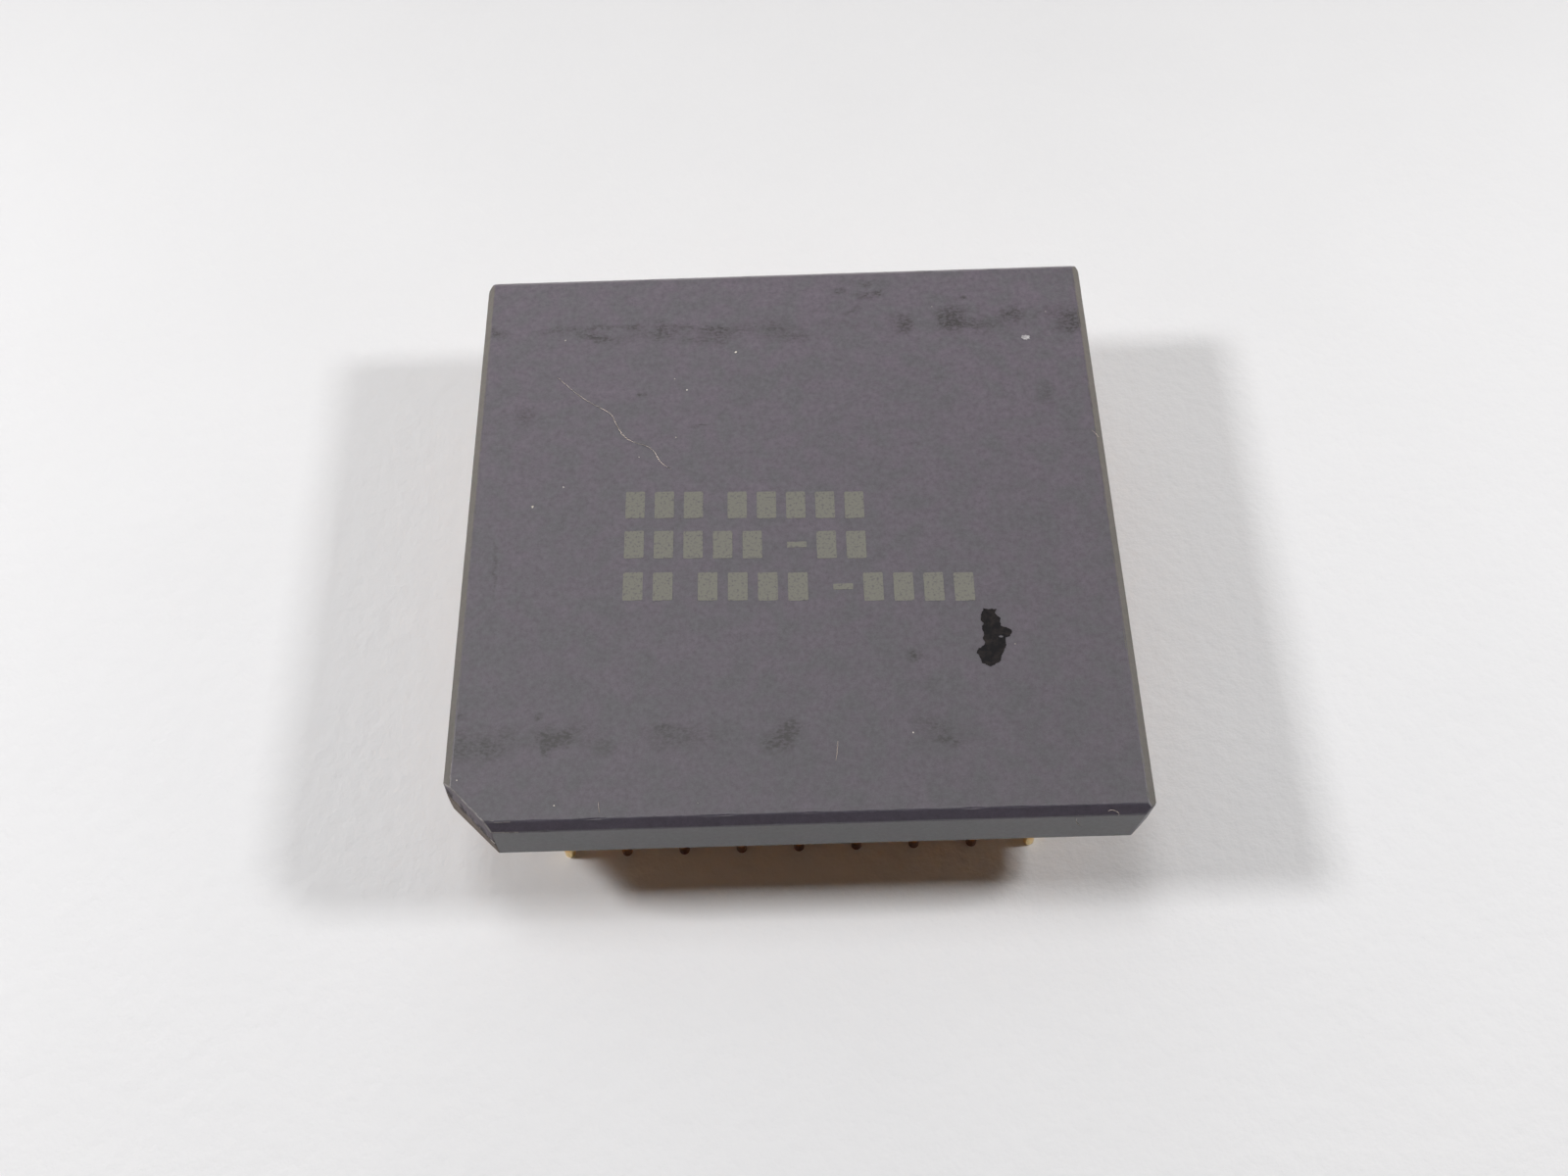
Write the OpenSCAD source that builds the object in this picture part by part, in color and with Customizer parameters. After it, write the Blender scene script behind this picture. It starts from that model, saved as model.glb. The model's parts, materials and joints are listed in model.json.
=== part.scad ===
// Ceramic pin grid array package for a processor die, standing on its pins.
// The die cavity opens on the pin side, under a soldered metal lid.
// Millimetres. +Z is up, the origin lies on the plane of the pin tips, in the middle of the
// pin grid, -Y is the front, and the index corner is the one at -X and -Y.

/* [Pin grid] */
// Pin positions along one side of the grid, the empty corners counted
grid_n = 11; // [11:2:13]
// Distance between neighbouring pins
pitch = 2.54; // [2.4:0.01:2.6]
// Distance from the outer pins' axes to the sides of the ceramic
edge_margin = 1.8; // [1.5:0.05:2.2]

/* [Pins] */
// Diameter of a pin
pin_d = 0.46; // [0.4:0.01:0.52]
// Distance that the pins stand out below the ceramic
pin_standout = 4.8; // [4.3:0.1:5.2]
// Chamfer at a pin's tip
tip_chamfer = 0.12; // [0.05:0.01:0.15]
// Diameter of a pin's nail head, which is brazed to the ceramic
head_d = 0.76; // [0.66:0.02:0.86]
// Thickness of the nail head
head_t = 0.15; // [0.1:0.01:0.2]
// Diameter of the collar on a stand-off pin
collar_d = 1.2; // [1:0.05:1.4]
// Thickness of that collar
collar_t = 0.3; // [0.2:0.02:0.4]
// Distance from the ceramic down to the face of the collars that sits on the board
seat_drop = 1.27; // [1.1:0.01:1.6]

/* [Braze] */
// Radius of the braze fillet from a pad to its pin
braze_r = 0.6; // [0.54:0.02:0.7]
// Thickness at which the fillet ends, on the pin and on the pad
braze_lip = 0.02; // [0.01:0.01:0.04]
// Width of the pad that shows round the braze
pad_rim = 0.03; // [0.02:0.01:0.08]

/* [Ceramic] */
// Thickness of the ceramic
body_t = 2.54; // [2.2:0.02:3]
// Bevel along the four upper edges, at 45 degrees
top_bevel = 0.36; // [0.2:0.02:0.5]
// Leg of the index corner's cut
index_cut = 2.08; // [1.6:0.02:2.6]
// Height of the ground upper part of the index corner's face, at its middle
ground_h = 1.15; // [0.8:0.05:1.6]
// Lean of that ground part, in degrees
ground_lean = 5.3; // [2:0.1:8]
// Fall of its lower edge from the left side to the front, in degrees
ground_fall = 12; // [0:1:15]
// Leg of the small cuts at the front right and rear left corners, at the foot of the bevel
corner_cut = 0.47; // [0.4:0.01:0.6]
// Leg of the lighter cut at the rear right corner, at the foot of the bevel
rear_cut = 0.3; // [0.2:0.01:0.4]
// Amount that the small cuts' legs grow by down to the underside
corner_flare = 0.28; // [0:0.02:0.4]

/* [Cavity] */
// Depth of the bond shelf behind the underside
shelf_depth = 0.5; // [0.42:0.02:0.7]
// Depth of the die's floor behind the bond shelf
floor_depth = 0.6; // [0.5:0.02:0.8]
// Clear width between the die and its cavity's wall
die_gap = 0.9; // [0.7:0.05:1.1]
// Width of the bond shelf
shelf_w = 1.5; // [1.4:0.05:1.7]
// Radius of the cavity's upright corners
cavity_r = 0.4; // [0.2:0.05:0.6]
// Thickness of the plated metal on the ceramic
plate_t = 0.03; // [0.02:0.005:0.05]
// Bare border round the plating on the die's floor
floor_border = 0.3; // [0.1:0.05:0.4]

/* [Lid] */
// Width that the lid laps over the ceramic round the cavity
lid_lap = 1.12; // [0.9:0.02:1.3]
// Thickness of the lid
lid_t = 0.25; // [0.2:0.01:0.4]
// Radius of the lid's corners
lid_r = 0.6; // [0.3:0.05:1]
// Thickness of the solder between the lid and its ring
solder_t = 0.05; // [0.03:0.01:0.08]
// Width that the solder runs out past the lid
solder_run = 0.15; // [0.05:0.01:0.2]
// Width of the plated ring that shows round the lid
ring_show = 0.38; // [0.25:0.01:0.6]
// Bare width between the cavity and the plated ring
ring_gap = 0.1; // [0.05:0.01:0.2]

/* [Die] */
// Width of the die
die_w = 8.2; // [7:0.1:8.6]
// Thickness of the die
die_t = 0.5; // [0.4:0.01:0.55]
// Thickness of the metal that the die is set in
attach_t = 0.04; // [0.02:0.01:0.06]
// Width that this metal runs out round the die
attach_rim = 0.2; // [0.1:0.02:0.3]

/* [Bonds] */
// Diameter of a bond wire
wire_d = 0.032; // [0.025:0.001:0.04]
// Height of a wire's loop over the line between its feet
loop_h = 0.25; // [0.18:0.01:0.28]
// Distance from the die's edge in to the wires' feet
bond_inset = 0.15; // [0.1:0.01:0.3]
// Distance from the die's corners to the first wires
bond_end = 0.45; // [0.3:0.05:0.8]
// Length of a bond finger
finger_l = 1.1; // [0.9:0.02:1.16]
// Width of a bond finger
finger_w = 0.25; // [0.15:0.01:0.32]
// Distance from the shelf's edge to the bond fingers
finger_gap = 0.12; // [0.05:0.01:0.2]
// Distance from the die cavity's corners to the first fingers
finger_end = 0.45; // [0.3:0.05:0.8]
// Distance from a finger's inner end to its wire's foot
bond_reach = 0.4; // [0.2:0.02:0.6]
// Length of a wire's flattened foot
foot_l = 0.1; // [0.06:0.01:0.14]

/* [Hidden] */
$fn = 48;

// How far a cutter runs past the faces that it opens
over = 1;

// Sides of the package, in quarter turns from the front
SIDES = ["front", "right", "back", "left"];

// Steps from the middle of the grid to its outer and inner rows
outer_step = (grid_n - 1) / 2;
inner_step = outer_step - 1;
// Wires on one side of the die, a quarter of all the pins
wires_n = 2 * grid_n - 5;

// Widths from the die outwards
body_w = (grid_n - 1) * pitch + 2 * edge_margin;
die_cavity_w = die_w + 2 * die_gap;
shelf_cavity_w = die_cavity_w + 2 * shelf_w;
lid_w = shelf_cavity_w + 2 * lid_lap;
pad_d = pin_d + 2 * (braze_r + braze_lip + pad_rim);

// Heights, from the underside of the ceramic up into it and down from it
z_under = pin_standout;
z_top = z_under + body_t;
z_shelf = z_under + shelf_depth;
z_floor = z_shelf + floor_depth;
z_die_back = z_floor - plate_t - attach_t;
z_die_face = z_die_back - die_t;
z_finger_face = z_shelf - plate_t;
z_pin_head = z_under - plate_t;
z_seat = z_under - seat_drop;
z_solder = z_under - plate_t;
z_lid = z_solder - solder_t;

// Shapes that several pieces share

module rounded_square(w, r) {
    square([w, w - 2 * r], center = true);
    square([w - 2 * r, w], center = true);
    for (x = [-1, 1], y = [-1, 1]) translate([x, y] * (w / 2 - r)) circle(r);
}

// A flat layer with its lower face at z
module layer(z, t) {
    translate([0, 0, z]) linear_extrude(t) children();
}

// Turns its children from the front to the named side
module on_side(side) {
    rotate(90 * search([side], SIDES)[0]) children();
}

// Puts its children at one column and row of the pin grid, counted in steps from the middle
module at_pin(column, row) {
    translate([column, row] * pitch) children();
}

// Ceramic

module slab_section() {
    polygon([
        [-body_w / 2, z_under],
        [body_w / 2, z_under],
        [body_w / 2, z_top - top_bevel],
        [body_w / 2 - top_bevel, z_top],
        [-body_w / 2 + top_bevel, z_top],
        [-body_w / 2, z_top - top_bevel],
    ]);
}

module bevelled_slab() {
    intersection() {
        rotate([90, 0, 0]) linear_extrude(body_w, center = true) slab_section();
        rotate([90, 0, 90]) linear_extrude(body_w, center = true) slab_section();
    }
}

// Distance from the axis, across a corner, of a cut with this leg
function cut_reach(leg) = (body_w - leg) / sqrt(2);

// A cut across the corner at this bearing, whose leg grows down to the underside
module corner_cutter(bearing, leg) {
    lean = corner_flare / sqrt(2) / (body_t - top_bevel);
    section = [
        [cut_reach(leg) - lean * (body_t - top_bevel + over), z_under - over],
        [cut_reach(0) + over, z_under - over],
        [cut_reach(0) + over, z_top + over],
        [cut_reach(leg) + lean * (top_bevel + over), z_top + over],
    ];
    rotate(bearing) rotate([90, 0, 0]) linear_extrude(4 * over, center = true) polygon(section);
}

// The index corner's upright cut, with its upper part ground back by a leaning plane
module index_cutter() {
    long = 4 * index_cut;
    rotate(-135) translate([cut_reach(index_cut), 0, 0]) {
        translate([0, -long / 2, z_under - over]) cube([index_cut + over, long, body_t + 2 * over]);
        translate([0, 0, z_top - ground_h]) rotate([ground_fall, 0, 0]) rotate([0, -ground_lean, 0])
            translate([0, -long / 2, -over]) cube([index_cut + over, long, body_t + 2 * over]);
    }
}

module ceramic_body() {
    color("#68636a") difference() {
        bevelled_slab();
        index_cutter();
        corner_cutter(-45, corner_cut);
        corner_cutter(45, rear_cut);
        corner_cutter(135, corner_cut);
        layer(z_under - over, shelf_depth + over) rounded_square(shelf_cavity_w, cavity_r);
        layer(z_shelf - over, floor_depth + over) rounded_square(die_cavity_w, cavity_r);
    }
}

// Lid and its seal

module seal_ring() {
    inner_w = shelf_cavity_w + 2 * ring_gap;
    color("#c9a24c") layer(z_under - plate_t, plate_t) difference() {
        rounded_square(lid_w + 2 * ring_show, lid_r + ring_show);
        rounded_square(inner_w, cavity_r + ring_gap);
    }
}

module lid_solder() {
    color("#cfae62") layer(z_lid, solder_t) difference() {
        rounded_square(lid_w + 2 * solder_run, lid_r + solder_run);
        rounded_square(shelf_cavity_w + 2 * ring_gap, cavity_r + ring_gap);
    }
}

module lid() {
    color("#d2aa4e") layer(z_lid - lid_t, lid_t) rounded_square(lid_w, lid_r);
}

// Die and its bonds

module die_floor_plating() {
    color("#c9a24c") layer(z_floor - plate_t, plate_t)
        rounded_square(die_cavity_w - 2 * floor_border, cavity_r);
}

module die_attach() {
    color("#b59a5a") layer(z_die_back, attach_t) square(die_w + 2 * attach_rim, center = true);
}

module die() {
    color("#5c6470") layer(z_die_face, die_t) square(die_w, center = true);
}

// Place along its side of finger or wire i, on a row of this length
function along(i, length) = (i / (wires_n - 1) - 0.5) * length;

function die_bond(i) = [
    along(i, die_w - 2 * bond_end),
    -die_w / 2 + bond_inset,
    z_die_face - wire_d / 2
];
function finger_bond(i) = [
    along(i, die_cavity_w - 2 * finger_end),
    -die_cavity_w / 2 - finger_gap - bond_reach,
    z_finger_face - wire_d / 2
];

// A wire from a to b: one arc that bows down, with a flattened foot on each surface
module bond_wire(a, b) {
    run = b - a;
    chord = norm(run);
    arc_r = (chord * chord / 4 + loop_h * loop_h) / (2 * loop_h);
    half_angle = asin(chord / 2 / arc_r);
    heading = atan2(run.y, run.x);
    translate((a + b) / 2) rotate([0, -asin(run.z / chord), heading])
        translate([0, 0, arc_r - loop_h]) rotate([90, 0, 0]) rotate(-90 - half_angle)
            rotate_extrude(angle = 2 * half_angle) translate([arc_r, 0]) circle(d = wire_d);
    for (foot = [a, b]) translate(foot) rotate(heading)
        cube([foot_l, 1.5 * wire_d, wire_d], center = true);
}

module bond_wires(side) {
    color("#d8d8dc") on_side(side) for (i = [0:wires_n - 1]) bond_wire(die_bond(i), finger_bond(i));
}

module bond_fingers(side) {
    color("#c9a24c") on_side(side) for (i = [0:wires_n - 1])
        translate([
            along(i, die_cavity_w - 2 * finger_end) - finger_w / 2,
            -die_cavity_w / 2 - finger_gap - finger_l,
            z_finger_face
        ]) cube([finger_w, finger_l, plate_t]);
}

// Pins, turned about their own axes

module pin() {
    color("#c8a04a") rotate_extrude() {
        polygon([
            [0, 0],
            [pin_d / 2 - tip_chamfer, 0],
            [pin_d / 2, tip_chamfer],
            [pin_d / 2, z_pin_head],
            [0, z_pin_head],
        ]);
        translate([0, z_pin_head - head_t]) square([head_d / 2, head_t]);
    }
}

// A pin with an upset collar, whose rim is round
module standoff_pin() {
    pin();
    color("#c8a04a") rotate_extrude() {
        translate([0, z_seat]) square([(collar_d - collar_t) / 2, collar_t]);
        translate([(collar_d - collar_t) / 2, z_seat + collar_t / 2]) circle(d = collar_t);
    }
}

module pin_pad() {
    color("#c9a24c") translate([0, 0, z_under - plate_t]) cylinder(d = pad_d, h = plate_t);
}

// The braze round a nail head: a hollow fillet from the pad down to the pin
module pin_braze() {
    size = braze_r + braze_lip;
    color("#c4a765") translate([0, 0, z_pin_head]) mirror([0, 0, 1]) rotate_extrude() difference() {
        translate([pin_d / 2, 0]) difference() {
            square(size);
            translate([size, size]) circle(braze_r);
        }
        square([head_d / 2, head_t]);
    }
}

// One quarter of the grid's places: the outer row, the inner row and the inner corner after it
module at_side_places(side) {
    on_side(side) {
        for (i = [1 - outer_step:outer_step - 1]) at_pin(i, -outer_step) children();
        for (i = [1 - inner_step:inner_step]) at_pin(i, -inner_step) children();
    }
}

module pin_pads(side) {
    at_side_places(side) pin_pad();
}

module pin_brazes(side) {
    at_side_places(side) pin_braze();
}

module pins_outer(side) {
    on_side(side) for (i = [1 - outer_step:outer_step - 1]) at_pin(i, -outer_step) pin();
}

module pins_inner(side) {
    on_side(side) for (i = [1 - inner_step:inner_step - 1]) at_pin(i, -inner_step) pin();
}

// The stand-off pin at the inner corner that follows this side
module corner_standoff(side) {
    on_side(side) at_pin(inner_step, -inner_step) standoff_pin();
}

ceramic_body();
seal_ring();
lid_solder();
lid();
die_floor_plating();
die_attach();
die();
bond_wires("front");  // bond_wires_front
bond_wires("right");  // bond_wires_right
bond_wires("back");  // bond_wires_back
bond_wires("left");  // bond_wires_left
bond_fingers("front");  // bond_fingers_front
bond_fingers("right");  // bond_fingers_right
bond_fingers("back");  // bond_fingers_back
bond_fingers("left");  // bond_fingers_left
pin_pads("front");  // pin_pads_front
pin_pads("right");  // pin_pads_right
pin_pads("back");  // pin_pads_back
pin_pads("left");  // pin_pads_left
pin_brazes("front");  // pin_brazes_front
pin_brazes("right");  // pin_brazes_right
pin_brazes("back");  // pin_brazes_back
pin_brazes("left");  // pin_brazes_left
pins_outer("front");  // pins_outer_front
pins_outer("right");  // pins_outer_right
pins_outer("back");  // pins_outer_back
pins_outer("left");  // pins_outer_left
pins_inner("front");  // pins_inner_front
pins_inner("right");  // pins_inner_right
pins_inner("back");  // pins_inner_back
pins_inner("left");  // pins_inner_left
corner_standoff("front");  // standoff_pin_front_right
corner_standoff("right");  // standoff_pin_back_right
corner_standoff("back");  // standoff_pin_back_left
corner_standoff("left");  // standoff_pin_front_left
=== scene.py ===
"""Looks of a processor's ceramic pin grid array package, which stands on its pins on a pale surface.

The ceramic body is dressed: its worn edges, print, ink, lint and dust are made here. The metal and the die
keep their CAD shapes and get their finishes. A length that is said to be in mm is multiplied by MM where it is
used, and every other length is in metres.
"""
import json
import math

import bmesh
import bpy
from mathutils import Matrix, Vector, noise


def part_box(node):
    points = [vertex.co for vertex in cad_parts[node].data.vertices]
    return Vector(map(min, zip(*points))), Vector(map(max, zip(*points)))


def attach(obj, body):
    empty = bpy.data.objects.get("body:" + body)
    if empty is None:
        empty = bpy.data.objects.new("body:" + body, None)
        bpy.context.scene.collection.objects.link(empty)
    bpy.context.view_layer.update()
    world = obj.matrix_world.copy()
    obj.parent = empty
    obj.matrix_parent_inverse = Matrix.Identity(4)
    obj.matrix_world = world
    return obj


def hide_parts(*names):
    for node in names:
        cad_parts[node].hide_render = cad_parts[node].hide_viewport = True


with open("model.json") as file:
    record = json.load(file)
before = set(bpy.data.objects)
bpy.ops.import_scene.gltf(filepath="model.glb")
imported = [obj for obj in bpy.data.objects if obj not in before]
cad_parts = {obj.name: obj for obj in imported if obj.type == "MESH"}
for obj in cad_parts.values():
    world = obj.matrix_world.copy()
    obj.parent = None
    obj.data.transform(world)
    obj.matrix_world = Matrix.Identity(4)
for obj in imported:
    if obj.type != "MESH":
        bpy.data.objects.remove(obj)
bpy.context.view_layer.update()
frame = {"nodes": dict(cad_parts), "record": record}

MM = 0.001

# The photograph's camera: place in mm, turn in degrees, lens and picture's width in mm, and how near and how far
# it sees in mm
CAMERA_PLACE = (0.43, -39.61, 68.21)
CAMERA_TURN = (30.565, 1.383, -1.163)
CAMERA_LENS = 37.405
PICTURE_WIDTH = 36
CAMERA_NEAR, CAMERA_FAR = 1, 10000

# The ceramic's heights and side, from the frame, and how far the index corner's cut reaches along each side
BODY_LOW, BODY_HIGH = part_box("ceramic_body")
BOTTOM_Z = BODY_LOW.z
TOP_Z = BODY_HIGH.z
SIDE = BODY_HIGH.x
INDEX_CUT = 2.08 * MM

# The dressed ceramic is this much lower and narrower than the solid, so print and lint stay inside its box
TOP_DROP = 0.036 * MM
SIDE_DROP = 0.02 * MM
DRESSED_TOP = TOP_Z - TOP_DROP

# How bright the studio's walls and the rest of the room are, where 1 is white, and the colour behind the part
WALL, ROOM = 1.64, 0.006
BACKGROUND = "#ebebeb"

# Half the floor's side in metres. Its paper shows its own colour as far as the first reach in mm, and the
# colour behind the part from the second on
FLOOR_HALF = 1.5
PAPER_REACH = (50, 110)

# The lamps: place in metres, width and length in metres, and power in watts
LAMPS = {
    "left_lamp": ((-0.139, -0.001, 0.128), 0.024, 0.029, 0.2),
    "right_lamp": ((0.125, -0.003, 0.113), 0.021, 0.026, 0.133),
    "overhead_lamp": ((-0.03, 0.08, 0.35), 0.1, 0.1, 0.25),
    "rear_panel": ((-0.12, 0.33, 0.28), 0.35, 0.5, 0.3),
}

# Numbers of the Mix node's sockets for colours
MIX_A, MIX_B, MIX_OUT = 6, 7, 2


def linear(code):
    """An sRGB hex colour as the linear colour that Blender's sockets take."""
    channels = [int(code[i:i + 2], 16) / 255 for i in (1, 3, 5)]
    return [c / 12.92 if c <= 0.04045 else ((c + 0.055) / 1.055) ** 2.4 for c in channels] + [1]


def fineness(size):
    """The scale at which a texture in metres has features of this size in mm."""
    return 1 / (size * MM)


def add(tree, kind, inputs=None, **settings):
    """Adds a node to a tree. A value in inputs is set on its socket, and a socket is linked to it."""
    node = tree.nodes.new(kind)
    for name, value in settings.items():
        setattr(node, name, value)
    for key, value in (inputs or {}).items():
        if isinstance(value, bpy.types.NodeSocket):
            tree.links.new(value, node.inputs[key])
        else:
            node.inputs[key].default_value = value
    return node


def new_material(name, **values):
    """A Principled material with these socket values, its tree, its shader and its Object coordinates."""
    made = bpy.data.materials.new(name)
    made.use_nodes = True
    tree = made.node_tree
    shader = tree.nodes["Principled BSDF"]
    for socket, value in values.items():
        shader.inputs[socket.replace("_", " ")].default_value = value
    place = add(tree, "ShaderNodeTexCoord").outputs["Object"]
    return made, tree, shader, place


def two_tones(tree, value, tones, turn=(0, 1), smooth=False):
    """A colour that turns from one tone to the other as a value goes from the first to the second of turn."""
    share = add(tree, "ShaderNodeMapRange", {
        "Value": value, "From Min": turn[0], "From Max": turn[1],
    }, interpolation_type="SMOOTHSTEP" if smooth else "LINEAR").outputs["Result"]
    return add(tree, "ShaderNodeMix", {
        0: share, MIX_A: linear(tones[0]), MIX_B: linear(tones[1]),
    }, data_type="RGBA").outputs[MIX_OUT]


# Soft dark smudges on the top face, left where the package was gripped: a row at the rear and one in front.
# Each is x and y in mm, half its length and half its width in mm, its slant in degrees and its darkness
SMUDGES = [
    (-10.3, 11.15, 1.5, 0.16, 3, 0.5), (-8.1, 11.25, 0.9, 0.14, 0, 0.4), (-7.3, 11.2, 0.35, 0.2, 0, 0.5),
    (-9.2, 10.7, 0.65, 0.26, -14, 0.6), (-8.2, 10.45, 0.9, 0.2, -6, 0.35), (-5.9, 11.25, 0.3, 0.35, 0, 0.6),
    (-5.75, 10.7, 0.6, 0.4, 20, 0.55), (-6.9, 10.75, 0.6, 0.35, 0, 0.25), (-4.9, 11.1, 0.55, 0.25, -10, 0.4),
    (-3.5, 10.95, 0.9, 0.16, -3, 0.45), (-3.3, 10.55, 0.75, 0.55, 0, 0.55), (-4.5, 10.3, 0.5, 0.2, 0, 0.35),
    (-2.0, 10.9, 0.5, 0.4, 0, 0.3), (-0.9, 11.0, 0.7, 0.4, 0, 0.25), (-13.9, 11.1, 0.45, 0.25, -20, 0.6),
    (-0.3, 10.7, 0.8, 0.5, 20, 0.35), (0.6, 10.3, 0.6, 0.35, 0, 0.4), (5.5, 11.3, 0.55, 0.3, 0, 0.4),
    (5.75, 10.75, 0.5, 0.4, 15, 0.75), (7.85, 11.35, 0.5, 0.4, 0, 0.6), (7.9, 10.8, 0.5, 0.5, 0, 0.85),
    (8.7, 10.85, 0.75, 0.35, -15, 0.6), (9.7, 10.6, 0.5, 0.5, 0, 0.35), (8.3, 11.6, 0.8, 0.3, 0, 0.35),
    (10.9, 11.35, 0.5, 0.35, 0, 0.65), (10.7, 10.95, 0.9, 0.4, 0, 0.25), (13.75, 10.75, 0.5, 0.55, 0, 0.8),
    (13.3, 10.3, 0.6, 0.25, 0, 0.4), (13.2, 11.2, 1.1, 0.5, 0, 0.3), (2.4, 11.0, 1.6, 0.3, 0, 0.15),
    (2.75, 13.05, 0.24, 0.22, 0, 0.6), (4.05, 13.5, 0.3, 0.2, 0, 0.5), (3.95, 12.7, 0.4, 0.22, 0, 0.55),
    (4.6, 12.8, 0.22, 0.2, 0, 0.7), (8.65, 12.4, 0.16, 0.16, 0, 0.6), (3.3, 11.8, 0.45, 0.16, 25, 0.35),
    (-12.9, -10.75, 0.95, 0.75, 0, 0.45), (-12.55, -11.0, 0.4, 0.35, 0, 0.4),
    (-13.9, -10.75, 0.4, 0.7, 0, 0.5), (-11.9, -10.2, 0.35, 0.4, 0, 0.35),
    (-10.3, -10.25, 0.5, 0.35, 0, 0.55), (-10.45, -10.5, 0.22, 0.2, 0, 0.95),
    (-9.85, -10.65, 0.45, 0.3, 10, 0.9), (-9.4, -10.3, 0.8, 0.3, 30, 0.55),
    (-10.3, -10.95, 0.16, 0.4, 0, 0.8), (-8.9, -10.65, 0.6, 0.3, 0, 0.35), (-11.2, -10.7, 0.6, 0.3, 0, 0.25),
    (-7.85, -11.0, 0.4, 0.4, 0, 0.45), (-5.3, -10.6, 0.6, 0.55, 0, 0.5), (-5.4, -10.2, 0.8, 0.25, 0, 0.3),
    (-4.2, -10.55, 0.55, 0.5, 0, 0.4), (-3.3, -10.65, 0.35, 0.5, 0, 0.3), (-0.3, -10.3, 0.4, 0.5, 0, 0.55),
    (-0.55, -10.75, 0.75, 0.45, 30, 0.7), (-0.7, -11.1, 0.5, 0.35, 0, 0.35),
    (5.5, -10.25, 0.7, 0.35, -10, 0.35), (6.0, -10.75, 0.6, 0.55, -20, 0.35),
    (6.35, -11.1, 0.5, 0.2, -10, 0.5), (7.2, -10.8, 0.6, 0.4, 0, 0.2), (-10.65, -9.48, 0.15, 0.13, 0, 0.9),
    (-14.0, -9.4, 0.2, 0.2, 0, 0.6), (-6.88, 7.1, 0.16, 0.15, 0, 0.6), (-6.6, 7.15, 0.12, 0.12, 0, 0.4),
    (-4.05, 5.23, 0.4, 0.07, 5, 0.6), (2.5, 8.85, 0.13, 0.12, 0, 0.5), (-12.2, 6.05, 0.4, 0.55, 0, 0.5),
    (12.1, 6.5, 0.35, 0.6, 0, 0.35), (-13.0, -2.2, 1.2, 0.08, 93, 0.5), (5.1, -7.15, 0.24, 0.26, 0, 0.9),
    (5.75, -8.45, 0.3, 0.3, 0, 0.35),
]
# A smudge has faded out at this many times its half length and half width, and this high over the face in mm
LENGTH_FADE, WIDTH_FADE = 1.7, 1.5
SMUDGE_HEIGHT = 1.5
# The smudges' outlines wander by a noise of this range in mm, which seldom moves them by more than 0.2 mm
SMUDGE_WANDER = 0.6


def smudge_mask(tree, place):
    """How much each point of the top face is smudged, from 0 to 1, broken up by a fine noise."""
    wander = add(tree, "ShaderNodeTexNoise", {
        "Vector": place, "Scale": fineness(0.5), "Detail": 3,
    }).outputs["Color"]
    centred = add(tree, "ShaderNodeVectorMath", {
        0: wander, 1: (0.5, 0.5, 0.5),
    }, operation="SUBTRACT").outputs[0]
    offset = add(tree, "ShaderNodeVectorMath", {
        0: centred, "Scale": SMUDGE_WANDER * MM,
    }, operation="SCALE").outputs[0]
    moved = add(tree, "ShaderNodeVectorMath", {0: place, 1: offset}, operation="ADD").outputs[0]
    total = 0.0
    for x, y, half_length, half_width, slant, darkness in SMUDGES:
        mark = add(tree, "ShaderNodeMapping", {
            "Vector": moved,
            "Location": (x * MM, y * MM, TOP_Z),
            "Rotation": (0, 0, math.radians(slant)),
            "Scale": (LENGTH_FADE * half_length * MM, WIDTH_FADE * half_width * MM, SMUDGE_HEIGHT * MM),
        }, vector_type="TEXTURE").outputs[0]
        ball = add(tree, "ShaderNodeTexGradient", {"Vector": mark}, gradient_type="SPHERICAL").outputs["Fac"]
        total = add(tree, "ShaderNodeMath", {
            0: ball, 1: darkness, 2: total,
        }, operation="MULTIPLY_ADD").outputs[0]
    # Rubbed along the row, so each smudge is a faint haze with short dark streaks in it
    rubbed = add(tree, "ShaderNodeMapping", {"Vector": place, "Scale": (0.6, 1, 1)}).outputs[0]
    flecks = add(tree, "ShaderNodeTexNoise", {
        "Vector": rubbed, "Scale": fineness(0.13), "Detail": 5, "Roughness": 0.7,
    }).outputs["Fac"]
    broken = add(tree, "ShaderNodeMapRange", {
        "Value": flecks, "From Min": 0.42, "From Max": 0.62, "To Min": 0.4, "To Max": 1.8,
    }, interpolation_type="SMOOTHSTEP").outputs["Result"]
    return add(tree, "ShaderNodeMath", {0: total, 1: broken}, operation="MULTIPLY", use_clamp=True).outputs[0]


ALUMINA_IOR = 1.76
# The ceramic's painted light and shade change between this far to the front and this far to the rear of its
# middle, in mm
LIGHT_GRADIENT_REACH = 13


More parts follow.
